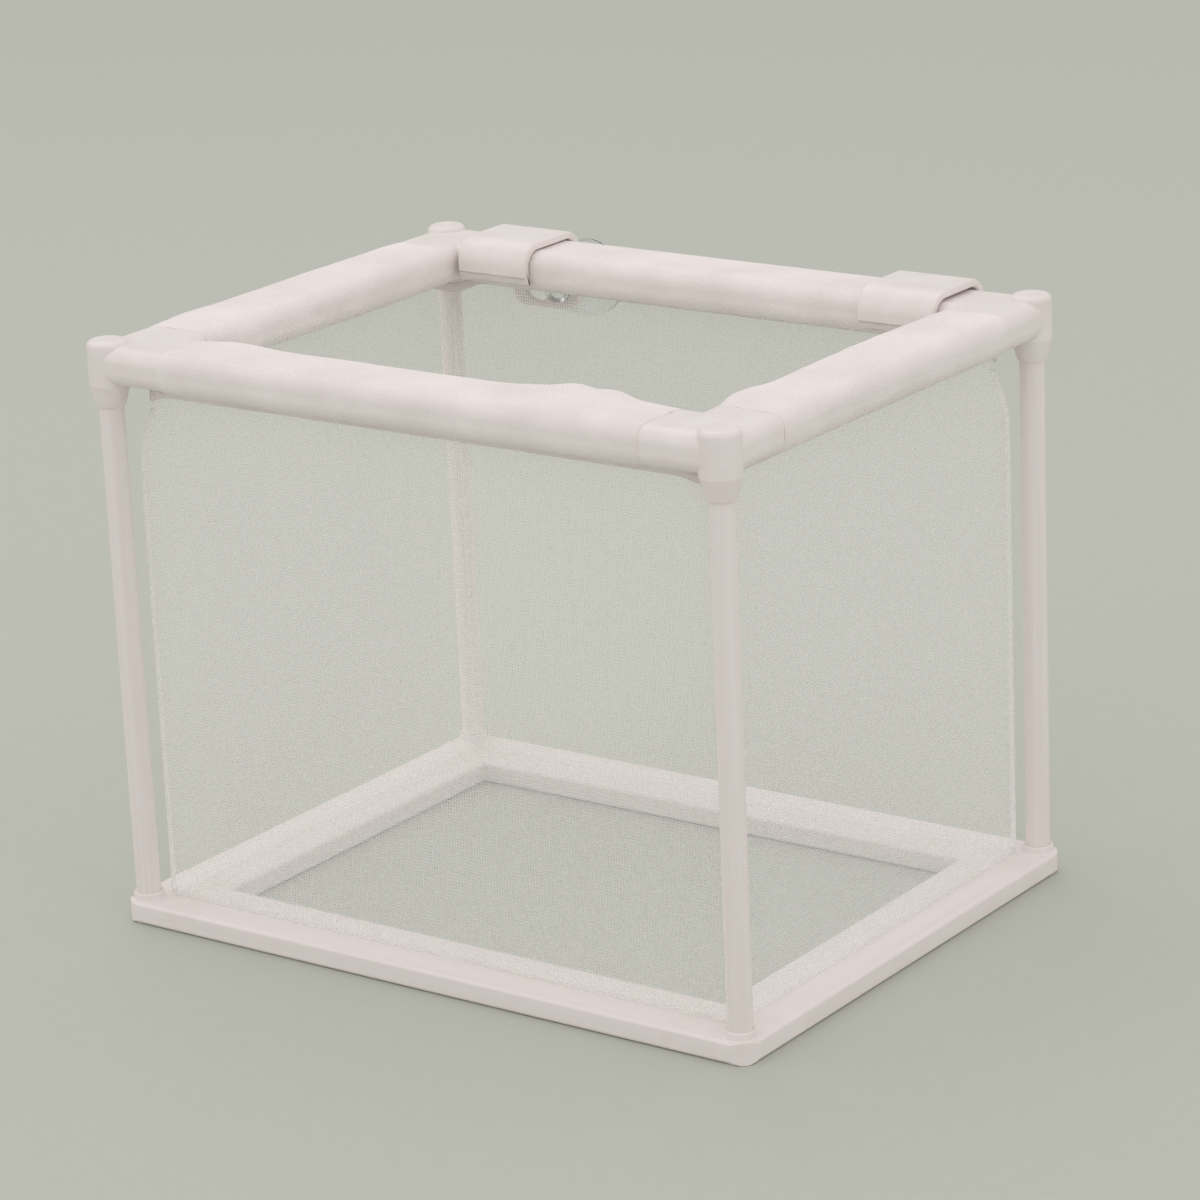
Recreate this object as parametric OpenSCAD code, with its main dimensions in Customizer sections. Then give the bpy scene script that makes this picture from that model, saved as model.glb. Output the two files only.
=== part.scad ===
// Knock-down net breeding box for an aquarium.
// A flat base frame carries four round posts. A rim of hollow rails plugs onto the posts and carries
// the net bag in four sewn hem sleeves. Two saddle clips on the rear rail hold suction cups.
// X runs along the long sides, the rear side faces +Y, and the box stands on Z = 0.
// The origin is the middle of the footprint, clips and suction cups included.

/* [Frame] */
// Length of the frame over its long side
frame_l = 165; // [140:1:200]
// Width of the frame over its short side
frame_w = 128; // [112:1:160]
// Height of the frame from the table to the top of the hems
frame_h = 131; // [110:1:160]

/* [Rim] */
// Width of a top rail with its hem sleeve
rim_w = 18; // [16:0.5:22]
// Height of a top rail with its hem sleeve
rim_h = 9; // [8:0.5:11]
// Wall thickness of the hollow top rails
rim_wall = 1.3; // [1:0.1:1.6]

/* [Base] */
// Width of the flat base rails
base_w = 17; // [15:0.5:20]
// Height of the flat base rails
base_h = 4.8; // [4.4:0.1:6]
// Wall thickness of the hollow base rails
base_wall = 1.1; // [0.9:0.1:1.3]

/* [Posts and corners] */
// Diameter of the round posts
post_d = 5.4; // [5.2:0.1:5.8]
// Distance from the frame's outer faces to the middle of a post
post_inset = 4.2; // [4:0.1:4.8]
// Outer diameter of the post sockets of the rim corners
rim_socket_d = 8.8; // [8.4:0.2:9]
// Outer diameter of the post sockets of the base corners
base_socket_d = 7.6; // [7.4:0.2:8]
// Length of a corner's visible arm, from the outer corner
arm_l = 21; // [19.5:0.5:26]
// Length of the spigots that plug into the rails
spigot_l = 10; // [8:0.5:12]

/* [Net bag] */
// Thickness of the hem sleeves, with the cloth folded double
hem_t = 0.7; // [0.5:0.1:0.9]
// Thickness of the net panels
net_t = 0.4; // [0.3:0.1:0.6]
// Gap between the net bag and the posts
net_gap = 0.5; // [0.5:0.1:2]

/* [Hangers] */
// Distance of each suction cup from the middle of the rear rail
cup_x = 49.6; // [30:0.2:49.6]
// Width of a clip along the rail
clip_w = 19; // [18:0.5:20]
// Thickness of a clip
clip_t = 1.8; // [1.4:0.1:2.4]
// Outer diameter of the suction cups
cup_d = 18; // [16:1:20]

/* [Hidden] */

plastic = [0.9, 0.87, 0.86];
hem_white = [0.93, 0.9, 0.89];
net_white = [0.9, 0.93, 0.9, 0.35];
cup_clear = [0.82, 0.87, 0.88, 0.6];

$fn = 48;

// Small fits: a snug moulded fit, a loose fit between cloth and plastic, and a gap between moving pieces
snug = 0.05;
cloth_gap = 0.1;
move_gap = 0.3;

// Rail sections, inside the hem sleeve
rail_w = rim_w - 2 * (hem_t + cloth_gap);
rail_h = rim_h - 2 * (hem_t + cloth_gap);
rail_round = 2.8;
hem_round = rail_round + hem_t;
base_round = 0.8;
// Step from a hem down to the rim corner's arm that it ends at, so that the two meet almost flush
arm_step = 0.3;
// Middle of a rim rail's section: in from the frame's outer face, and up from the table
rail_inset = rim_w / 2;
rail_z = frame_h - rim_h / 2;

// Heights of the post: it stands on the blind end of the base socket and carries the rim's
socket_floor = 1.2;
socket_cap = 1.4;
base_socket_top = base_h + 1.8;
rim_socket_low = frame_h - rim_h - 4.6;
nub_rise = 0.8;
post_top = frame_h + nub_rise - socket_cap - 0.2;
post_chamfer = 0.6;

// Net bag, inside the posts
net_inset = post_inset + post_d / 2 + net_gap;
net_low = base_h + move_gap;
net_high = frame_h - rim_h;
bag_l = frame_l - 2 * net_inset;
bag_w = frame_w - 2 * net_inset;

// Hangers: the keyhole lies along the rail. Its narrow inner end, the eye, carries the cup's neck, and its
// wide outer end lets the head through
eye_drop = 3.5;
eye_z = frame_h - rim_h - eye_drop;
eye_shift = 4.2;
neck_d = 4.2;
neck_hole_d = neck_d + 2 * 0.08;
head_d = 6.4;
key_hole_d = head_d + 1;
key_run = 6.6;
plate_drop = 5.1;
plate_round = 4;
inner_leg = 5.5;
lip = 1.1;
cup_depth = 10.6;
// Rear face of the clip's plate, measured from the frame's outer face
plate_back = move_gap + clip_t;
flange_gap = 0.3;
// How far the suction cups stand out behind the frame
hang_out = plate_back + flange_gap + cup_depth;

// The corner nubs stand a little proud of the frame in front, and the cups stand out behind it
nub_proud = max(0, rim_socket_d / 2 - post_inset);
frame_y = (nub_proud - hang_out) / 2;

// Puts the children in the part's own frame: the middle of the footprint is the origin
module place() {
    translate([0, frame_y, 0]) children();
}

// Rectangle with round corners, centred
module round_rect(w, h, r) {
    square([w - 2 * r, h], center = true);
    square([w, h - 2 * r], center = true);
    for (sx = [-1, 1], sy = [-1, 1])
        translate([sx * (w / 2 - r), sy * (h / 2 - r)]) circle(r);
}

// Bar along X with the children as its section, from x = from to x = to
module bar_x(from, to) {
    translate([from, 0, 0]) rotate([90, 0, 90]) linear_extrude(to - from) children();
}

// Puts a piece drawn along the front side on one of the four sides: 0 front, 1 right, 2 back, 3 left
module on_side(side) {
    half = side % 2 == 0 ? frame_w / 2 : frame_l / 2;
    rotate([0, 0, 90 * side]) translate([0, -half, 0]) children();
}

// Length of a side, measured over the frame
function side_l(side) = side % 2 == 0 ? frame_l : frame_w;

// Puts a piece drawn at the front left corner, with its arms along +X and +Y, on one of the corners
module on_corner(sx, sy) {
    mirror([sx > 0 ? 1 : 0, 0, 0]) mirror([0, sy > 0 ? 1 : 0, 0])
        translate([-frame_l / 2, -frame_w / 2, 0]) children();
}

// ---------- Hollow rails ----------

module base_rail(side) {
    len = side_l(side) - 2 * arm_l;
    color(plastic) place() on_side(side) translate([0, base_w / 2, base_h / 2])
        bar_x(-len / 2, len / 2) difference() {
            round_rect(base_w, base_h, base_round);
            round_rect(base_w - 2 * base_wall, base_h - 2 * base_wall, base_round / 2);
        }
}

module rim_rail(side) {
    len = side_l(side) - 2 * arm_l;
    color(plastic) place() on_side(side) translate([0, rail_inset, rail_z])
        bar_x(-len / 2, len / 2) difference() {
            round_rect(rail_w, rail_h, rail_round);
            round_rect(rail_w - 2 * rim_wall, rail_h - 2 * rim_wall, rail_round - rim_wall);
        }
}

// ---------- Corner connectors ----------

// Section of a spigot: it fits the hollow of a rail and has a relief groove in both broad faces
module spigot_section(w, h, r) {
    groove_w = w / 4;
    groove_h = h / 4;
    difference() {
        round_rect(w, h, r);
        for (sx = [-1, 1], sy = [-1, 1])
            translate([sx * w / 4, sy * h / 2]) square([groove_w, 2 * groove_h], center = true);
    }
}

// Spigot along +X from the end of an arm, with a slimmer lead-in at its tip
module spigot(w, h, r) {
    lead = 2;
    bar_x(arm_l - 1, arm_l + spigot_l - lead) spigot_section(w, h, r);
    bar_x(arm_l, arm_l + spigot_l) spigot_section(w - 0.8, h - 0.6, r / 2);
}

// The two arms of a corner: the children's section, inset from both outer faces, mitred at 45 degrees
module mitred_arms(inset, z) {
    reach = arm_l + 1;
    intersection() {
        translate([0, inset, z]) bar_x(0, arm_l) children();
        translate([0, 0, -1]) linear_extrude(frame_h + 2) polygon([[0, 0], [reach, 0], [reach, reach]]);
    }
    intersection() {
        mirror([1, -1, 0]) translate([0, inset, z]) bar_x(0, arm_l) children();
        translate([0, 0, -1]) linear_extrude(frame_h + 2) polygon([[0, 0], [reach, reach], [0, reach]]);
    }
}

// Both spigots of a corner, one along each arm
module two_spigots(inset, z, w, h, r) {
    translate([0, inset, z]) spigot(w, h, r);
    mirror([1, -1, 0]) translate([0, inset, z]) spigot(w, h, r);
}

// Plan of a corner with its outer edge rounded to follow the socket
module corner_plan(r) {
    reach = arm_l + spigot_l + 1;
    translate([r, 0]) square([reach - r, reach]);
    translate([0, r]) square([reach, reach - r]);
    translate([r, r]) circle(r);
}

module base_corner(sx, sy) {
    color(plastic) place() on_corner(sx, sy) difference() {
        union() {
            intersection() {
                union() {
                    mitred_arms(base_w / 2, base_h / 2) round_rect(base_w, base_h, base_round);
                    two_spigots(base_w / 2, base_h / 2, base_w - 2 * (base_wall + snug),
                                base_h - 2 * (base_wall + snug), base_round / 2);
                }
                translate([0, 0, -1]) linear_extrude(frame_h) corner_plan(post_inset);
            }
            translate([post_inset, post_inset, 0]) base_socket();
        }
        translate([post_inset, post_inset, socket_floor]) cylinder(d = post_d + 2 * snug, h = frame_h);
    }
}

// Round collar that holds the foot of a post and tapers up to it
module base_socket() {
    r = base_socket_d / 2;
    rotate_extrude() polygon([[0, 0], [r, 0], [r, base_h], [r - 0.3, base_h + 0.3],
                              [post_d / 2 + 0.6, base_socket_top - 0.3],
                              [post_d / 2 + 0.4, base_socket_top], [0, base_socket_top]]);
}

module rim_corner(sx, sy) {
    color(plastic) place() on_corner(sx, sy) difference() {
        union() {
            intersection() {
                union() {
                    mitred_arms(rail_inset, rail_z)
                        round_rect(rim_w - 2 * arm_step, rim_h - 2 * arm_step, hem_round - arm_step);
                    two_spigots(rail_inset, rail_z, rail_w - 2 * (rim_wall + snug),
                                rail_h - 2 * (rim_wall + snug), rail_round - rim_wall);
                }
                linear_extrude(2 * frame_h) corner_plan(post_inset);
            }
            translate([post_inset, post_inset, 0]) rim_socket();
        }
        translate([post_inset, post_inset, 0])
            cylinder(d = post_d + 2 * snug, h = frame_h + nub_rise - socket_cap);
    }
}

// Round nub that takes the head of a post: below the arms it tapers down to the post, and its cap has a
// rounded edge
module rim_socket() {
    r = rim_socket_d / 2;
    foot_r = post_d / 2 + 0.5;
    shoulder_z = frame_h - rim_h;
    top = frame_h + nub_rise;
    edge = 1.4;
    rotate_extrude() {
        polygon([[0, rim_socket_low], [foot_r, rim_socket_low], [r, shoulder_z],
                 [r, top - edge], [r - edge, top], [0, top]]);
        translate([r - edge, top - edge]) circle(edge);
    }
}

// ---------- Posts ----------

module post(sx, sy) {
    r = post_d / 2;
    color(plastic) place() on_corner(sx, sy) translate([post_inset, post_inset, 0])
        rotate_extrude() polygon([[0, socket_floor], [r - post_chamfer, socket_floor],
                                  [r, socket_floor + post_chamfer], [r, post_top - post_chamfer],
                                  [r - post_chamfer, post_top], [0, post_top]]);
}

// ---------- Net bag ----------

// Hem sleeve round a rim rail, from corner arm to corner arm
module hem(side) {
    len = side_l(side) - 2 * arm_l;
    color(hem_white) place() on_side(side) translate([0, rail_inset, rail_z])
        bar_x(-len / 2, len / 2) difference() {
            round_rect(rim_w, rim_h, hem_round);
            round_rect(rim_w - 2 * hem_t, rim_h - 2 * hem_t, rail_round);
        }
}

// Side panel of the bag, from the floor to the underside of the rim
module net_side(side) {
    len = side % 2 == 0 ? bag_l : bag_w - 2 * net_t;
    color(net_white) place() on_side(side)
        translate([-len / 2, net_inset, net_low + net_t]) cube([len, net_t, net_high - net_low - net_t]);
}

module net_floor() {
    color(net_white) place() translate([-bag_l / 2, -bag_w / 2, net_low]) cube([bag_l, bag_w, net_t]);
}

// ---------- Hangers ----------

// Upright shape with a flat foot and a rounded top, from y = low to y = top
module arch(w, low, top, r) {
    translate([-w / 2, low]) square([w, top - r - low]);
    translate([r - w / 2, low]) square([w - 2 * r, top - low]);
    for (s = [-1, 1])
        translate([s * (w / 2 - r), top - r]) circle(r);
}

// Section of the saddle across the rail: over the top and down both sides
module saddle_section() {
    w = rim_w + 2 * move_gap;
    r = hem_round + move_gap;
    difference() {
        arch(w + 2 * clip_t, -inner_leg, move_gap + clip_t, r + clip_t);
        arch(w, -frame_h, move_gap, r);
    }
}

// Puts a piece drawn round the line of the right suction cup, at the rail's outer face, on either side
module at_hanger(s) {
    place() mirror([s < 0 ? 1 : 0, 0, 0]) translate([cup_x, frame_w / 2, 0]) children();
}

// Outline of the hanging plate, from its round lower corners up into the saddle's outer leg
module plate_outline() {
    foot_z = eye_z - plate_drop;
    top_z = frame_h - inner_leg + 1;
    translate([-clip_w / 2, foot_z + plate_round]) square([clip_w, top_z - foot_z - plate_round]);
    translate([plate_round - clip_w / 2, foot_z]) square([clip_w - 2 * plate_round, top_z - foot_z]);
    for (s = [-1, 1])
        translate([s * (clip_w / 2 - plate_round), foot_z + plate_round]) circle(plate_round);
}

// Keyhole: the eye, the head's hole, and a slot a little narrower than the neck between them
module keyhole() {
    slot_w = neck_d - 0.5;
    translate([0, eye_z]) circle(d = neck_hole_d);
    translate([key_run, eye_z]) circle(d = key_hole_d);
    translate([0, eye_z - slot_w / 2]) square([key_run, slot_w]);
}

module hanger_clip(s) {
    lip_h = 1.4;
    lip_w = 1.5;
    color(plastic) at_hanger(s) {
        // Saddle over the rail
        translate([eye_shift - clip_w / 2, -rail_inset, frame_h]) rotate([90, 0, 90])
            linear_extrude(clip_w) saddle_section();
        // Hanging plate with its keyhole
        translate([0, move_gap + clip_t, 0]) rotate([90, 0, 0]) linear_extrude(clip_t) difference() {
            translate([eye_shift, 0]) plate_outline();
            keyhole();
        }
        // Lips at both ends of the plate that snap under the rail
        for (x = [-clip_w / 2, clip_w / 2 - lip_w])
            translate([x + eye_shift, move_gap - lip, frame_h - rim_h - move_gap - lip_h])
                cube([lip_w, lip + clip_t / 2, lip_h]);
    }
}

// Half section of a suction cup, with r across and the axis up: the head is low and the lip is high
module cup_section() {
    r = cup_d / 2;
    neck = clip_t + 2 * flange_gap;
    boss_r = 4.6;
    boss_h = 1.6;
    bell_h = cup_depth - boss_h;
    steps = 10;
    wall = 1.5;
    lip_w = 0.7;
    // The bell flares from the boss to the lip in a quarter of an ellipse, and its hollow follows it
    outer = [for (i = [0 : steps])
        [boss_r + (r - boss_r) * sin(90 * i / steps), boss_h + bell_h * (1 - cos(90 * i / steps))]];
    inner = [for (i = [steps : -1 : 0])
        [(r - lip_w) * sin(90 * i / steps), boss_h + wall + (bell_h - wall) * (1 - cos(90 * i / steps))]];
    polygon(concat([[0, 0], [boss_r - 0.4, 0], [boss_r, 0.4]], outer, inner));
    // Neck and mushroom head
    translate([0, -neck]) square([neck_d / 2, neck + boss_h / 2]);
    translate([0, -neck - 1.2]) square([head_d / 2, 1.2]);
    translate([0, -neck - 2.4]) square([head_d / 2 - 1.2, 2.4]);
    translate([head_d / 2 - 1.2, -neck - 1.2]) circle(1.2);
}

// Pull tab on the lip, pointing outwards: a flat tongue with a round end, a little short of the lip's face
module pull_tab() {
    root = cup_d / 2 - 0.6;
    reach = cup_d / 2 + 1.5;
    tab_w = 5;
    tab_t = 1.2;
    translate([0, 0, cup_depth - 0.4 - tab_t]) linear_extrude(tab_t) {
        translate([root, -tab_w / 2]) square([reach - root, tab_w]);
        translate([reach, 0]) circle(d = tab_w);
    }
}

module suction_cup(s) {
    color(cup_clear) at_hanger(s) translate([0, plate_back + flange_gap, eye_z]) rotate([-90, 0, 0]) {
        rotate_extrude() cup_section();
        pull_tab();
    }
}

base_rail(0);  // base_rail_front
base_rail(1);  // base_rail_right
base_rail(2);  // base_rail_back
base_rail(3);  // base_rail_left
base_corner(-1, -1);  // base_corner_fl
base_corner(1, -1);  // base_corner_fr
base_corner(-1, 1);  // base_corner_bl
base_corner(1, 1);  // base_corner_br
post(-1, -1);  // post_fl
post(1, -1);  // post_fr
post(-1, 1);  // post_bl
post(1, 1);  // post_br
rim_rail(0);  // rim_rail_front
rim_rail(1);  // rim_rail_right
rim_rail(2);  // rim_rail_back
rim_rail(3);  // rim_rail_left
rim_corner(-1, -1);  // rim_corner_fl
rim_corner(1, -1);  // rim_corner_fr
rim_corner(-1, 1);  // rim_corner_bl
rim_corner(1, 1);  // rim_corner_br
hem(0);  // hem_front
hem(1);  // hem_right
hem(2);  // hem_back
hem(3);  // hem_left
net_side(0);  // net_front
net_side(1);  // net_right
net_side(2);  // net_back
net_side(3);  // net_left
net_floor();
hanger_clip(-1);  // hanger_clip_left
hanger_clip(1);  // hanger_clip_right
suction_cup(-1);  // suction_cup_left
suction_cup(1);  // suction_cup_right
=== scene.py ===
# Net breeding box for an aquarium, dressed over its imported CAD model.
import math

import bmesh
import bpy
import numpy as np
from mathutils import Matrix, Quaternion, Vector


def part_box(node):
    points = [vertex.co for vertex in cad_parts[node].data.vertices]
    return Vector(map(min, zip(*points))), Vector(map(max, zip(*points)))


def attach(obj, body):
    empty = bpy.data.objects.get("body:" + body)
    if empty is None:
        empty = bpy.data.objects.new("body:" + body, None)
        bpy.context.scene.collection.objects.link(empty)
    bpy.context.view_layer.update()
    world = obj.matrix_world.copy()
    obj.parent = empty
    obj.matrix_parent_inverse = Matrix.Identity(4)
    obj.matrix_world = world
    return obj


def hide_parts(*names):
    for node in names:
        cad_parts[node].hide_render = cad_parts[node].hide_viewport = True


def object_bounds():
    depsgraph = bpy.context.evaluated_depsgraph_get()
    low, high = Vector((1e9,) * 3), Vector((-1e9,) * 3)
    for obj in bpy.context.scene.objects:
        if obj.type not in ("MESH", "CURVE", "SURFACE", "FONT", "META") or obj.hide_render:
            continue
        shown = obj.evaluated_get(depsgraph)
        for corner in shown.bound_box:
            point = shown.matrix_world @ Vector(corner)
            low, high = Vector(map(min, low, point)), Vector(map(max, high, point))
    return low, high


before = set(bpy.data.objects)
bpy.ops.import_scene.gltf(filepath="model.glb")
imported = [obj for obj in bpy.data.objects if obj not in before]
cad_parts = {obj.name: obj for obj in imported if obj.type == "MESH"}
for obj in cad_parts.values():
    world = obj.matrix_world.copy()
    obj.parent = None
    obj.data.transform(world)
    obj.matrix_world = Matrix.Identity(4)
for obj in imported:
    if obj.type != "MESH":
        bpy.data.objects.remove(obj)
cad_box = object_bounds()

# ---------- Table, light and camera ----------
# The box stands on a plain pale table under soft studio light. The camera looks down on its near right
# corner through a long lens and is tilted a little, as the picture is.

mm = 0.001


class Signal:
    """One output on its way through a material. Arithmetic on it adds Math nodes."""

    def __init__(self, finish, socket):
        self.finish = finish
        self.socket = socket

    def __add__(self, other):
        return self.finish.math("ADD", self, other)

    def __sub__(self, other):
        return self.finish.math("SUBTRACT", self, other)

    def __rsub__(self, other):
        return self.finish.math("SUBTRACT", other, self)

    def __mul__(self, other):
        return self.finish.math("MULTIPLY", self, other)

    __radd__ = __add__
    __rmul__ = __mul__


class Finish:
    """The nodes of one material, or of the world."""

    def __init__(self, owner):
        owner.use_nodes = True
        self.owner = owner
        self.tree = owner.node_tree
        self.tree.nodes.clear()

    def node(self, kind, settings, inputs, output=0):
        """Adds a node: its settings come first, then each input's value or link. Gives one of its outputs."""
        added = self.tree.nodes.new("ShaderNode" + kind)
        for name, value in settings.items():
            setattr(added, name, value)
        for name, value in inputs.items():
            if isinstance(value, Signal):
                self.tree.links.new(value.socket, added.inputs[name])
            else:
                added.inputs[name].default_value = value
        return Signal(self, added.outputs[output]) if added.outputs else None

    def math(self, operation, *values):
        """The outcome of a Math node's operation on values or links."""
        return self.node("Math", {"operation": operation}, dict(enumerate(values)))

    def place(self):
        """The point on the surface, in metres, in the object's own space."""
        return self.node("TexCoord", {}, {}, "Object")

    def part(self, vector, axis):
        """A vector's part along one axis: X, Y or Z."""
        return self.node("SeparateXYZ", {}, {"Vector": vector}, axis)

    def noise(self, vector, scale, detail=3.0, rough=0.5):
        """Cloudy noise round 0.5, with scale clouds to the metre."""
        inputs = {"Vector": vector, "Scale": scale, "Detail": detail, "Roughness": rough}
        return self.node("TexNoise", {}, inputs)

    def stretched(self, vector, scale):
        """The vector with its parts multiplied by scale."""
        return self.node("Mapping", {}, {"Vector": vector, "Scale": scale})

    def ramp(self, value, low, high, start=0.0, end=1.0):
        """Goes smoothly from start to end while value goes from low to high, and stays level outside."""
        inputs = {0: value, 1: low, 2: high, 3: start, 4: end}
        return self.node("MapRange", {"interpolation_type": "SMOOTHSTEP"}, inputs)

    def mix(self, share, first, second):
        """Colour that goes from first to second as share goes from 0 to 1."""
        return self.node("Mix", {"data_type": "RGBA"}, {0: share, 6: first, 7: second}, 2)

    def bump(self, height, depth):
        """Normal of a surface with a relief of this depth in metres, where height goes from 0 to 1."""
        return self.node("Bump", {}, {"Height": height, "Distance": depth, "Strength": 1.0})

    def show(self, shader):
        """Ends the material with a Principled shader that has these inputs."""
        surface = self.node("BsdfPrincipled", {}, shader)
        self.node("OutputMaterial", {}, {"Surface": surface})


def paint(red, green, blue):
    """A screen colour, each part from 0 to 255, as linear light."""
    parts = np.array([red, green, blue]) / 255
    linear = np.where(parts > 0.04045, ((parts + 0.055) / 1.055) ** 2.4, parts / 12.92)
    return (*linear.tolist(), 1.0)


def new_finish(name):
    """A new material, ready for its nodes."""
    return Finish(bpy.data.materials.new(name))


def grid_faces(rows, columns, round_rows=False, round_columns=False):
    """Faces of a grid of points: the rows, the columns and the points' numbers of each face's four corners.

    A grid that is round one way closes on itself. The rows or columns of its last faces then reach one past
    the last line, and the numbers there are those of the first line.
    """
    row, column = np.meshgrid(np.arange(rows - 1 + round_rows), np.arange(columns - 1 + round_columns),
                              indexing="ij")
    row = np.stack([row, row, row + 1, row + 1], axis=-1)
    column = np.stack([column, column + 1, column + 1, column], axis=-1)
    return row, column, row % rows * columns + column % columns


def add_piece(name, points, faces, cloth=None):
    """Makes a smooth object at the origin out of points (..., 3) and faces (..., 4), with doubles merged.

    cloth gives each face's corners their place on the flat cloth in metres, (..., 4, 2), as the UV map.
    """
    mesh = bpy.data.meshes.new(name)
    mesh.from_pydata(points.reshape(-1, 3).tolist(), [], faces.reshape(-1, faces.shape[-1]).tolist())
    if cloth is not None:
        mesh.uv_layers.new(name="cloth").data.foreach_set("uv", cloth.ravel())
    shell = bmesh.new()
    shell.from_mesh(mesh)
    bmesh.ops.remove_doubles(shell, verts=shell.verts, dist=1e-6)
    bmesh.ops.recalc_face_normals(shell, faces=shell.faces)
    shell.to_mesh(mesh)
    shell.free()
    mesh.shade_smooth()
    piece = bpy.data.objects.new(name, mesh)
    bpy.context.scene.collection.objects.link(piece)
    return piece


def dress(piece, finish):
    """Puts a finish on a piece in place of any that it has."""
    piece.data.materials.clear()
    piece.data.materials.append(finish.owner)


table_colour = paint(188, 192, 183)
table_reach = 5.0
table_drop = 0.1 * mm

table_finish = new_finish("pale_table")
speckle = table_finish.noise(table_finish.place(), 240.0)
table_finish.show({
    "Base Color": table_finish.mix(speckle, paint(186, 190, 181), paint(190, 194, 185)),
    "Roughness": 0.75,
    "Specular IOR Level": 0.2,
})
table_points = table_reach * np.array([[-1, -1, 0], [1, -1, 0], [1, 1, 0], [-1, 1, 0]]) - [0, 0, table_drop]
table = add_piece("table_top", table_points, np.array([[0, 1, 2, 3]]))
dress(table, table_finish)

studio = bpy.data.worlds.new("studio")
bpy.context.scene.world = studio
sky = Finish(studio)
straight, through, mirrored = (sky.node("LightPath", {}, {}, kind)
                               for kind in ("Is Camera Ray", "Is Transmission Ray", "Is Glossy Ray"))
seen = sky.math("MAXIMUM", sky.math("MAXIMUM", straight, through), mirrored)
soft_light = sky.node("Background", {}, {"Color": paint(255, 251, 250), "Strength": 0.9})
backdrop = sky.node("Background", {}, {"Color": table_colour, "Strength": 1.0})
sky.node("OutputWorld", {}, {"Surface": sky.node("MixShader", {}, {0: seen, 1: soft_light, 2: backdrop})})


def add_lamp(name, place, size, watts):
    """Soft square lamp at a place, turned to the middle of the box."""
    lamp = bpy.data.objects.new(name, bpy.data.lights.new(name, "AREA"))
    lamp.data.size = size
    lamp.data.energy = watts
    lamp.location = place
    lamp.rotation_mode = "QUATERNION"
    lamp.rotation_quaternion = (box_middle - Vector(place)).to_track_quat("-Z", "Y")
    bpy.context.scene.collection.objects.link(lamp)


box_middle = (cad_box[0] + cad_box[1]) / 2
add_lamp("high_lamp", (-0.5, 0.2, 1.2), size=0.7, watts=1.35)
add_lamp("front_lamp", (-0.9, -1.0, 0.6), size=0.9, watts=1.4)
add_lamp("side_lamp", (1.2, -0.3, 0.5), size=0.8, watts=1.2)

view_azimuth = math.radians(36.0)
view_elevation = math.radians(17.5)
view_roll = math.radians(2.5)
view_distance = 0.97
view_width = 0.262

camera = bpy.data.objects.new("camera", bpy.data.cameras.new("camera"))
back = Vector((math.sin(view_azimuth) * math.cos(view_elevation),
               -math.cos(view_azimuth) * math.cos(view_elevation), math.sin(view_elevation)))
camera.location = box_middle + view_distance * back
camera.rotation_mode = "QUATERNION"
camera.rotation_quaternion = (-back).to_track_quat("-Z", "Y") @ Quaternion((0, 0, 1), -view_roll)
camera.data.sensor_width = 36.0
camera.data.lens = camera.data.sensor_width * view_distance / view_width
bpy.context.scene.collection.objects.link(camera)
bpy.context.scene.camera = camera
bpy.context.scene.view_settings.view_transform = "Standard"

# ---------- Base frame ----------
# Four flat hollow rails, extruded in white plastic, plug onto four moulded corners that hold the posts.
# The corners show the line where the two halves of their mould met.

corners = ("fl", "fr", "bl", "br")
white = paint(236, 229, 227)
off_white = paint(231, 223, 220)


def white_plastic(name, stretch, line_height=None):
    """Satin white plastic with faint flow marks, stretched as given, and where asked a mould's parting line.

    The relief is orange peel and flow marks in like parts. The line is a fine ridge at a height.
    """
    finish = new_finish(name)
    place = finish.place()
    flow = finish.noise(finish.stretched(place, stretch), 1.0, 4.0, 0.6)
    peel = finish.noise(place, 1100.0, 2.0)
    scuff = finish.noise(finish.stretched(place, (900.0, 140.0, 420.0)), 1.0, 5.0, 0.7)
    relief = peel * 0.5 + flow * 0.5
    if line_height is not None:
        away = finish.math("ABSOLUTE", finish.part(place, "Z") - line_height)
        relief = relief + finish.ramp(away, 0.02 * mm, 0.12 * mm, 1.6, 0.0)
    finish.show({
        "Base Color": finish.mix(finish.ramp(flow, 0.3, 0.7), white, off_white),
        "Roughness": finish.ramp(scuff, 0.35, 0.72, 0.36, 0.5),
        "Normal": finish.bump(relief, 0.015 * mm),
        "Coat Weight": 0.12,
        "Coat Roughness": 0.25,
    })
    return finish


rail_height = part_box("base_rail_front")[1].z
base_corner_plastic = white_plastic("moulded_base_corner", (120.0, 120.0, 120.0), rail_height / 2)
long_rail_plastic = white_plastic("extruded_long_rail", (9.0, 320.0, 320.0))
short_rail_plastic = white_plastic("extruded_short_rail", (320.0, 9.0, 320.0))
rail_plastics = {"front": long_rail_plastic, "back": long_rail_plastic,
                 "left": short_rail_plastic, "right": short_rail_plastic}
for side, plastic in rail_plastics.items():
    dress(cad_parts["base_rail_" + side], plastic)
for corner in corners:
    dress(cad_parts["base_corner_" + corner], base_corner_plastic)

# ---------- Posts ----------
# Four round rods of the same plastic, extruded, so that fine lines run along them. They push into the
# sockets of the base's corners and carry the rim.

post_plastic = white_plastic("extruded_post", (700.0, 700.0, 9.0))
for corner in corners:
    dress(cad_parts["post_" + corner], post_plastic)

# ---------- Rim frame ----------
# Four hollow rails plug onto moulded corners, whose round sockets sit on the posts. The rails are mostly
# hidden in the bag's hem, and the corners show.

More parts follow.
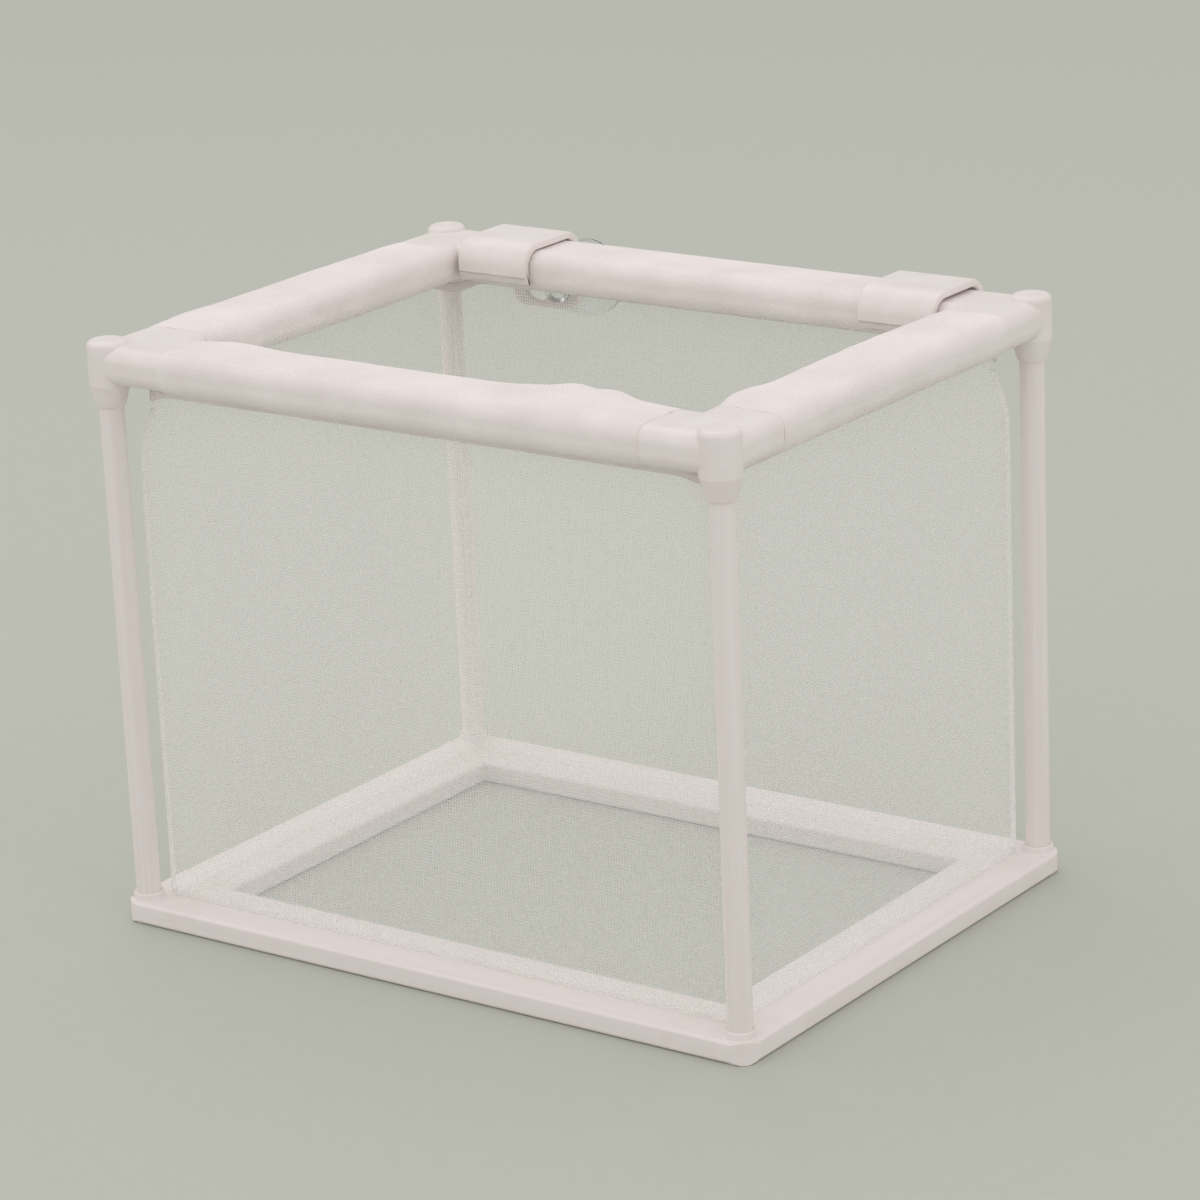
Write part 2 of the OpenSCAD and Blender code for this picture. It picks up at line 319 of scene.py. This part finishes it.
rim_middle = sum(point.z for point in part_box("rim_rail_front")) / 2
rim_corner_plastic = white_plastic("moulded_rim_corner", (110.0, 110.0, 110.0), rim_middle)
for side, plastic in rail_plastics.items():
    dress(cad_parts["rim_rail_" + side], plastic)
for corner in corners:
    dress(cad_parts["rim_corner_" + corner], rim_corner_plastic)

# ---------- Hem sleeves ----------
# The bag's top edge is folded over each rail into a sleeve of white woven cloth and sewn underneath. The
# cloth is slack towards the mouth, gathers at its cut ends, and leaves the corners bare.

cloth_thickness = 0.55 * mm
sleeve_round = 3.5 * mm
sleeve_side_steps = 12
sleeve_corner_steps = 7
sleeve_rings = 150
cut_edge_rings = 4
end_gap = 0.15 * mm
end_draw = 0.12 * mm
end_press = 0.4
drawn_reach = 3 * mm
ridge_mix = ((5, 0.5), (9, 0.3), (14, 0.2))  # how many go round the rail, and their share of the relief
ridge_wander = 0.08
gather_count = 7
gather_reach = 5 * mm
gather_weight = 0.8
pucker_weight = 1.2
pucker_slant = 6 * mm
slack_lift = 0.4
slack_play = 0.25
bag_floor = np.array([list(point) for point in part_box("net_floor")])
rim_centre = bag_floor.mean(axis=0)


def round_outline(width, height, radius, steps, corner_steps):
    """Runs once round a rectangle with round corners, against the clock, from the foot of its right side.

    Each side is walked in equal steps and each corner turned in equal angles: a point is its corner's
    centre, or a place between two centres, plus the radius times the outward direction. The sizes may be
    columns with a row for each outline. Gives x, y, and the outward direction's x and y.
    """
    side = np.repeat(np.arange(4), steps + corner_steps)
    walked = np.tile(np.append(np.arange(steps) / steps, np.ones(corner_steps)), 4)
    turned = np.tile(np.append(np.zeros(steps), np.arange(corner_steps) / corner_steps), 4) * math.pi / 2
    ahead_x, ahead_y = np.array([0, -1, 0, 1])[side], np.array([1, 0, -1, 0])[side]
    out_x = ahead_y * np.cos(turned) + ahead_x * np.sin(turned)
    out_y = -ahead_x * np.cos(turned) + ahead_y * np.sin(turned)
    across = np.where(side % 2 == 0, width, height) / 2 - radius
    along = (np.where(side % 2 == 0, height, width) - 2 * radius) * (walked - 0.5)
    x = ahead_y * across + ahead_x * along + out_x * radius
    y = -ahead_x * across + ahead_y * along + out_y * radius
    return x, y, out_x, out_y


def waves(distance, lengths, chance):
    """Sum of one sine for each wave length, each with a start of its own, shared out to stay within 1."""
    starts = chance.uniform(0, 2 * math.pi, len(lengths))
    return sum(np.sin(2 * math.pi * distance / length + start)
               for length, start in zip(lengths, starts)) / len(lengths)


def hem_sleeve(side, ridge, swells, seed):
    """Tube of cloth round one top rail: a rectangle with round corners, carried along the rail.

    The tube is one closed skin, which runs along the outside, turns over the cut edge and comes back along
    the inside. It stands off its outline by a mix of lengthwise ridges, which wander round the rail, by
    gathers that fade from both ends and by slanting puckers underneath. Its ends are drawn in to the rail and
    pressed thinner. Towards the mouth it hangs slack: each swell moves it by an amount that falls off as a
    bell curve along the rail, and as a square across it. A swell is its place on the rail from the middle,
    its reach and its amount.
    """
    chance = np.random.default_rng(seed)
    low, high = (np.array(point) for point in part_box("hem_" + side))
    middle, size = (low + high) / 2, high - low
    axis = int(size[1] > size[0])
    outward = math.copysign(1.0, middle[1 - axis] - rim_centre[1 - axis])
    half = size[axis] / 2 - end_gap
    run = np.linspace(-half, half, sleeve_rings)
    turn = np.linspace(0, math.pi, cut_edge_rings + 2)[1:-1]
    overhang = cloth_thickness / 2 * np.sin(turn)
    lengthwise = np.concatenate([run, half + overhang, run[::-1], -half - overhang])[:, None]
    turned = (1 - np.cos(turn)) / 2
    inner = np.concatenate([np.zeros(sleeve_rings), turned, np.ones(sleeve_rings), turned[::-1]])[:, None]
    across, up, out_across, out_up = round_outline(size[1 - axis], size[2], sleeve_round,
                                                   sleeve_side_steps, sleeve_corner_steps)
    step = np.hypot(np.diff(across, append=across[0]), np.diff(up, append=up[0]))
    girth = np.append(0, np.cumsum(step))
    share = girth[:-1] / girth[-1]
    end = np.maximum(half - np.abs(lengthwise), 0)
    place_round = share + ridge_wander * waves(lengthwise, (61 * mm, 37 * mm, 23 * mm), chance)
    ridges = sum(np.sin(2 * math.pi * count * place_round + chance.uniform(0, 2 * math.pi)) * weight
                 for count, weight in ridge_mix)
    gathers = np.exp(-end / gather_reach) * np.sin(2 * math.pi * gather_count * place_round)
    puckers = np.clip(-out_up, 0, 1) * waves(lengthwise + pucker_slant * share, (4.1 * mm, 5.3 * mm), chance)
    drawn = np.exp(-(end / drawn_reach) ** 2)
    stand_off = ridge * (ridges + gather_weight * gathers + pucker_weight * puckers) - end_draw * drawn
    slack = sum(amount * np.exp(-((lengthwise - place) / reach) ** 2) for place, reach, amount in swells)
    slack = slack * (1 + slack_play * waves(lengthwise, (19 * mm, 11 * mm), chance)) * (1 - drawn)
    inward = np.clip(0.5 - across / size[1 - axis], 0, 1)
    move = stand_off - inner * cloth_thickness * (1 - end_press * drawn)
    section_x = across + out_across * move - slack * inward ** 2
    section_z = up + out_up * move + slack_lift * slack * np.sin(math.pi * inward) * np.clip(out_up, 0, 1)
    cut = end_gap * waves(share, (1, 0.333), chance) * drawn
    points = np.empty(section_x.shape + (3,))
    points[..., axis] = middle[axis] + lengthwise + cut * np.sign(lengthwise)
    points[..., 1 - axis] = middle[1 - axis] + outward * section_x
    points[..., 2] = middle[2] + section_z
    rows, columns, faces = grid_faces(*section_x.shape, round_rows=True, round_columns=True)
    flat = np.stack(np.broadcast_arrays(np.append(lengthwise, lengthwise[:1], axis=0), girth), axis=-1)
    sleeve = add_piece("hem_sleeve_" + side, points, faces, flat[rows, columns])
    dress(sleeve, hem_cloth)
    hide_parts("hem_" + side)
    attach(sleeve, "rim")
    2 * half
    return sleeve


def woven_cloth(name, thread):
    """White plain weave: a relief of two crossed sines with a little fuzz on it.

    Its colour is greyer in wide soft clouds and, a little, along single threads, and has painted shade in the
    hollows of the weave.
    """
    finish = new_finish(name)
    flat = finish.node("UVMap", {"uv_map": "cloth"}, {})
    turn = 2 * math.pi / thread
    along, across = (finish.math("SINE", finish.part(flat, axis) * turn) for axis in ("X", "Y"))
    weave = along * across
    fuzz = finish.noise(finish.place(), 2600.0, 2.0)
    streak = finish.noise(finish.stretched(flat, (90.0, 900.0, 1.0)), 1.0, 2.0)
    cloud = finish.noise(finish.place(), 70.0, 4.0)
    # Painted shade in the weave's hollows, mixed with grey clouds and streaks of the cloth's own tone.
    tone_and_weave_shade = finish.ramp(streak * 0.2 + cloud * 0.8 - weave * 0.3, 0.1, 0.9)
    finish.show({
        "Base Color": finish.mix(tone_and_weave_shade, paint(243, 236, 234), paint(224, 216, 213)),
        "Roughness": finish.ramp(fuzz, 0.3, 0.7, 0.72, 0.9),
        "Normal": finish.bump(weave * 0.35 + fuzz * 0.3 + 0.35, 0.09 * mm),
        "Sheen Weight": 0.2,
        "Sheen Roughness": 0.5,
    })
    return finish


hem_cloth = woven_cloth("hem_cloth", 0.7 * mm)
sleeves = [
    hem_sleeve("front", 0.06 * mm, [(38 * mm, 11 * mm, 5.0 * mm), (-51 * mm, 8 * mm, 1.4 * mm)], 3),
    hem_sleeve("right", 0.06 * mm, [(-33 * mm, 6 * mm, 1.8 * mm), (8 * mm, 22 * mm, 0.8 * mm)], 11),
    hem_sleeve("back", 0.04 * mm, [(0, 20 * mm, 0.1 * mm)], 5),
    hem_sleeve("left", 0.06 * mm, [(-32 * mm, 7 * mm, 1.6 * mm), (10 * mm, 20 * mm, 0.8 * mm)], 7),
]

# ---------- Net bag ----------
# One cross-shaped cut of fine sheer polyester net, sewn up its four corners. It hangs from the hems inside
# the posts, cuts across the rim's corners at the top, and its floor lies on the base rails.

bag_steps = 56
bag_corner_steps = 8
span = bag_steps + bag_corner_steps
bag_columns = 4 * span
bag_levels = 60
bag_low = bag_floor[0, 2]
bag_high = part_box("net_front")[1].z
bag_height = bag_high - bag_low
bag_half_x, bag_half_y, _ = np.ptp(bag_floor, axis=0) / 2
bag_girth = 520 * mm
seam_radius = 1.2 * mm
corner_opening = 9 * mm
opens_from = 0.86
corner_dip = 2.2 * mm
arch_depth = 1.5 * mm
arch_lean = 40 * mm
fold_depth = 0.9 * mm
fold_fade = 0.04


def smooth_step(value, low, high):
    """0 below low, 1 above high, and a smooth S between them."""
    share = np.clip((value - low) / (high - low), 0, 1)
    return share * share * (3 - 2 * share)


def bag_ring(level):
    """The bag's outline at levels from 0, the floor, to 1, the top edge, and the way out from each point.

    It is a rectangle whose round corners open from a seam's radius to a wide sweep near the top. It starts in
    the middle of the front right corner. Each side hangs inwards by a low arch of uneven depth and by upright
    folds that fade downwards and close to the edge. The waves of both go round the girth a whole number of
    times. The top edge dips at the corners. Gives two arrays, (levels, columns, 3).
    """
    level = np.reshape(level, (-1, 1))
    radius = seam_radius + corner_opening * smooth_step(level, opens_from, 1.0)
    x, y, out_x, out_y = round_outline(2 * bag_half_x, 2 * bag_half_y, radius, bag_steps, bag_corner_steps)
    column = np.arange(bag_columns)
    on_side = column % span / bag_steps
    on_corner = np.clip(on_side - 1, 0, 1) * bag_steps / bag_corner_steps
    around = column / bag_columns * bag_girth
    chance = np.random.default_rng(21)
    folds = 0.5 - 0.5 * waves(around, (26 * mm, 17.33 * mm, 13 * mm, 8 * mm), chance)
    drift = 0.5 - 0.5 * waves(around + arch_lean * level, (65 * mm, 43.33 * mm), chance)
    arch = arch_depth * np.sin(math.pi * level) * (0.4 + 0.6 * drift)
    fold = fold_depth * folds * level ** 3 * smooth_step(1 - level, 0, fold_fade)
    inward = np.sin(math.pi * np.clip(on_side, 0, 1)) * (arch + fold)
    top = bag_high - corner_dip * np.sin(math.pi * on_corner) ** 2
    z = bag_low + (top - bag_low) * level
    ring = (rim_centre[0] + x - out_x * inward, rim_centre[1] + y - out_y * inward, z)
    way_out = (out_x, out_y, 0 * z)
    return [np.roll(np.stack(np.broadcast_arrays(*parts), axis=-1), bag_corner_steps // 2, axis=1)
            for parts in (ring, way_out)]


def on_the_cloth(ring, up, rows, columns):
    """Place on the flat cloth of the corners of the faces between rings of the bag.

    Each side of the bag is a panel of its own, from one corner's middle to the next. A point's place is its
    distance along the ring from the panel's middle, and its height up the cloth.
    """
    ahead = np.roll(ring, -1, axis=1) - ring
    step = np.hypot(ahead[..., 0], ahead[..., 1])
    run = np.cumsum(step.reshape(-1, 4, span), axis=2)
    after = (run - run[..., -1:] / 2).reshape(step.shape)
    before = after - step
    row, column = rows % len(ring), columns[..., :1]
    along = np.where([False, True, True, False], after[row, column], before[row, column])
    return np.stack([along, up[rows]], axis=-1)


def sheer_net(name, pitch, thread, body, veil):
    """Fine white netting: crossed threads, slightly wavy, over the faint veil of the thinner ones between.

    body is how much the threads hide, and veil how much the gaps between them do.
    """
    finish = new_finish(name)
    flat = finish.node("UVMap", {"uv_map": "cloth"}, {})
    wander = finish.noise(finish.place(), 160.0, 2.0) * (0.5 * mm)
    threads = []
    for axis in ("X", "Y"):
        away = finish.math("PINGPONG", finish.part(flat, axis) + wander, pitch / 2)
        threads.append(finish.ramp(away, 0.5 * thread, 0.9 * thread, 1.0, 0.0))
    crossed = finish.math("MAXIMUM", *threads)
    cloud = finish.noise(finish.place(), 45.0, 3.0)
    finish.show({
        "Base Color": finish.mix(cloud, paint(252, 252, 250), paint(245, 246, 243)),
        "Roughness": 0.6,
        "Alpha": veil + crossed * (body - veil) + (cloud - 0.5) * 0.05,
        "Normal": finish.bump(crossed, 0.02 * mm),
    })
    return finish


net_cloth = sheer_net("net_cloth", 0.7 * mm, 0.12 * mm, 0.36, 0.14)
level = np.linspace(0, 1, bag_levels)
wall, _ = bag_ring(level)
wall_rows, wall_columns, wall_faces = grid_faces(bag_levels, bag_columns, round_columns=True)
wall_cloth = on_the_cloth(wall, level * bag_height, wall_rows, wall_columns)

# The floor is stretched between the four panels' lowest edges: a point is the blend of the near and far edges
# plus the blend of the left and right ones, less the blend of the four corners. It lies on the base rails and
# hangs a little inside them.
floor_hang = 1.9 * mm
hang_reach_x, hang_reach_y = 30 * mm, 26 * mm
edges = [wall[0][(np.arange(span + 1) + span * panel) % bag_columns] for panel in range(4)]
right, far, left, near = edges[0], edges[1][::-1], edges[2][::-1], edges[3]
share = np.linspace(0, 1, span + 1)
u, v = share[None, :, None], share[:, None, None]
floor = ((1 - v) * near[None] + v * far[None] + (1 - u) * left[:, None] + u * right[:, None]
         - (1 - u) * (1 - v) * near[0] - u * (1 - v) * near[-1] - (1 - u) * v * far[0] - u * v * far[-1])
on_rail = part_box("base_rail_front")[1].y - (rim_centre[1] - bag_half_y)
inside_x = bag_half_x - np.abs(floor[..., 0] - rim_centre[0]) - on_rail
inside_y = bag_half_y - np.abs(floor[..., 1] - rim_centre[1]) - on_rail
floor[..., 2] -= floor_hang * smooth_step(inside_x, 0, hang_reach_x) * smooth_step(inside_y, 0, hang_reach_y)
floor_rows, floor_columns, floor_faces = grid_faces(*floor.shape[:2])
floor_faces = floor_faces + bag_levels * bag_columns
floor_cloth = floor[floor_rows, floor_columns][..., :2]

bag = add_piece("net_bag", np.concatenate([wall.reshape(-1, 3), floor.reshape(-1, 3)]),
                np.concatenate([wall_faces.reshape(-1, 4), floor_faces.reshape(-1, 4)]),
                np.concatenate([wall_cloth.reshape(-1, 4, 2), floor_cloth.reshape(-1, 4, 2)]))
dress(bag, net_cloth)
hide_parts("net_front", "net_back", "net_left", "net_right", "net_floor")
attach(bag, "rim")

# ---------- Seams of the bag ----------
# A folded white tape binds the net's top edge and is sewn through to the hems with a row of stitches. The
# four corners are closed with a narrow fin of doubled net.

tape_height = 2.0 * mm
tape_thickness = 0.8 * mm
tape_half = tape_thickness / 2
tape_side_rows = 5
tape_turn_rows = 5
tape_row_width = 0.7 * mm
tape_column_width = 2.03 * mm
tape_puff = 0.25

# The tape's section runs up its outer side, over its top, down its inner side and round its foot.
turn = np.linspace(0, math.pi, tape_turn_rows + 2)[1:-1]
rising = np.linspace(-tape_height, -tape_half, tape_side_rows)
tape_up = np.concatenate([rising, tape_half * np.sin(turn) - tape_half,
                          rising[::-1], -tape_half * np.sin(turn) - tape_height])
outer_half = np.concatenate([np.ones(tape_side_rows), np.cos(turn)])
tape_out = tape_half * np.concatenate([outer_half, -outer_half])[:, None]
puff = waves(np.arange(bag_columns) * tape_column_width, (9 * mm, 5 * mm), np.random.default_rng(4))
tape_out = tape_out * (1 + tape_puff * puff)
ring, way_out = bag_ring(1 + tape_up / bag_height)
tape_rows, tape_columns, tape_faces = grid_faces(len(tape_up), bag_columns, round_rows=True,
                                                 round_columns=True)
tape_cloth = on_the_cloth(ring, np.arange(len(tape_up) + 1) * tape_row_width, tape_rows, tape_columns)
binding = add_piece("bag_binding", ring + way_out * tape_out[..., None], tape_faces, tape_cloth)
dress(binding, hem_cloth)
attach(binding, "rim")

net_seam = sheer_net("net_seam", 0.4 * mm, 0.12 * mm, 0.6, 0.35)
fin_levels = 70
fin_low, fin_high = 0.004, 0.965
fin_width = 1.2 * mm
fin_thickness = 0.5 * mm
fin_round = 0.2 * mm
fin_steps = 3
fin_swing = 0.12 * mm
fin_swings = 46
fin_row_width = 1.65 * mm
fin_column_width = 0.3 * mm

# Each fin is a thin round-edged strip, carried up the inside of its corner with small swings from side to
# side, and closed at both ends by a point in the middle of its section.
fin_x, fin_y, _, _ = round_outline(fin_width, fin_thickness, fin_round, fin_steps, fin_steps)
level = np.linspace(fin_low, fin_high, fin_levels)
swing = fin_swing * np.sin(2 * math.pi * level * fin_swings)[:, None, None]
ring, way_out = bag_ring(level)
fins = []
for corner in range(4):
    seam, out = ring[:, None, corner * span], way_out[0, corner * span]
    sideways = np.array([-out[1], out[0], 0.0])
    fin = seam - out * (fin_width / 2 + fin_x[:, None]) + sideways * (fin_y[:, None] + swing)
    foot, tip = (np.broadcast_to(fin[end].mean(axis=0), (1, len(fin_x), 3)) for end in (0, -1))
    fins.append(np.concatenate([foot, fin, tip]))
fin_rows, fin_columns, fin_faces = grid_faces(fin_levels + 2, len(fin_x), round_columns=True)
fin_faces = fin_faces + np.arange(4).reshape(4, 1, 1, 1) * (fin_levels + 2) * len(fin_x)
fin_cloth = np.stack([fin_columns * fin_column_width, fin_rows * fin_row_width], axis=-1)
seams = add_piece("bag_corner_seams", np.stack(fins), fin_faces, np.tile(fin_cloth, (4, 1, 1, 1, 1)))
dress(seams, net_seam)
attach(seams, "rim")

stitch_length = 1.7 * mm
stitch_radius = 0.16 * mm
stitch_rings = 7
stitch_sides = 6
stitch_spacing = 1.5
stitch_drop = 0.55 * tape_height
stitch_lift = 0.55 * tape_thickness

# A stitch is a rod along the tape, whose radius falls off to both ends as the root of 1 less the fourth
# power of the way from its middle. The spacing is in columns of the bag, with a row on each side of the tape.
ring, way_out = bag_ring(1 - stitch_drop / bag_height)
place = np.arange(0, bag_columns, stitch_spacing)
before = np.floor(place).astype(int)
after, blend = (before + 1) % bag_columns, (place - before)[:, None]
stitch_at, stitch_out = (row[0, before] * (1 - blend) + row[0, after] * blend for row in (ring, way_out))
stitch_out /= np.linalg.norm(stitch_out, axis=1, keepdims=True)
stitch_at = np.concatenate([stitch_at + side * stitch_lift * stitch_out for side in (-1, 1)])[:, None, None]
stitch_out = np.tile(stitch_out, (2, 1))[:, None, None]
stitch_along = np.stack([-stitch_out[..., 1], stitch_out[..., 0], stitch_out[..., 2]], axis=-1)
lean, angle = np.meshgrid(np.linspace(-1, 1, stitch_rings),
                          np.arange(stitch_sides) / stitch_sides * 2 * math.pi, indexing="ij")
radius = stitch_radius * np.sqrt(np.clip(1 - lean ** 4, 0, 1))[..., None]
rod_along, rod_out, rod_up = (part[..., None] for part in (lean, np.cos(angle), np.sin(angle)))
stitch_points = (stitch_at + rod_along * stitch_length / 2 * stitch_along
                 + radius * (rod_out * stitch_out + rod_up * np.array([0, 0, 1.0])))
_, _, rod_faces = grid_faces(stitch_rings, stitch_sides, round_columns=True)
first_points = np.arange(len(stitch_points)).reshape(-1, 1, 1, 1) * stitch_rings * stitch_sides
stitches = add_piece("hem_stitches", stitch_points, first_points + rod_faces)
thread = new_finish("sewing_thread")
twist = thread.noise(thread.place(), 3200.0, 1.0)
thread.show({
    "Base Color": thread.mix(twist, paint(244, 238, 236), paint(228, 221, 219)),
    "Roughness": 0.55,
    "Normal": thread.bump(twist, 0.05 * mm),
})
dress(stitches, thread)
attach(stitches, "rim")

# ---------- Hanger clips ----------
# Two moulded saddles in white plastic snap over the rear rail. A keyhole in each takes a suction cup, and the
# mould rounds every edge.

clip_plastic = white_plastic("moulded_clip", (150.0, 150.0, 150.0))
clip_edge = 0.5 * mm
flat_enough = math.radians(1)
sharp = math.radians(40)
for side in ("left", "right"):
    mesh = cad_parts["hanger_clip_" + side].data.copy()
    shell = bmesh.new()
    shell.from_mesh(mesh)
    bmesh.ops.remove_doubles(shell, verts=shell.verts, dist=1e-6)
    bmesh.ops.dissolve_limit(shell, angle_limit=flat_enough, verts=shell.verts, edges=shell.edges)
    edges = [edge for edge in shell.edges if edge.calc_face_angle(0.0) > sharp]
    bmesh.ops.bevel(shell, geom=edges, offset=clip_edge, segments=4, profile=0.5, affect="EDGES")
    shell.to_mesh(mesh)
    shell.free()
    mesh.shade_smooth()
    clip = bpy.data.objects.new("moulded_clip_" + side, mesh)
    bpy.context.scene.collection.objects.link(clip)
    clip.modifiers.new("even_shading", "WEIGHTED_NORMAL")
    dress(clip, clip_plastic)
    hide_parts("hanger_clip_" + side)
    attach(clip, "clip_" + side)

# ---------- Suction cups ----------
# Clear soft vinyl cups, moulded in one piece with a neck, a mushroom head and a pull tab. The head snaps
# into a clip's keyhole, and the cup's lip grips the glass of the tank.

vinyl = new_finish("clear_vinyl")
haze = vinyl.noise(vinyl.place(), 150.0, 2.0)
vinyl.show({
    "Base Color": (0.95, 0.98, 0.98, 1.0),
    "Roughness": vinyl.ramp(haze, 0.3, 0.7, 0.1, 0.2),
    "Normal": vinyl.bump(haze, 0.01 * mm),
    "IOR": 1.45,
    "Transmission Weight": 0.96,
})
for side in ("left", "right"):
    dress(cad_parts["suction_cup_" + side], vinyl)
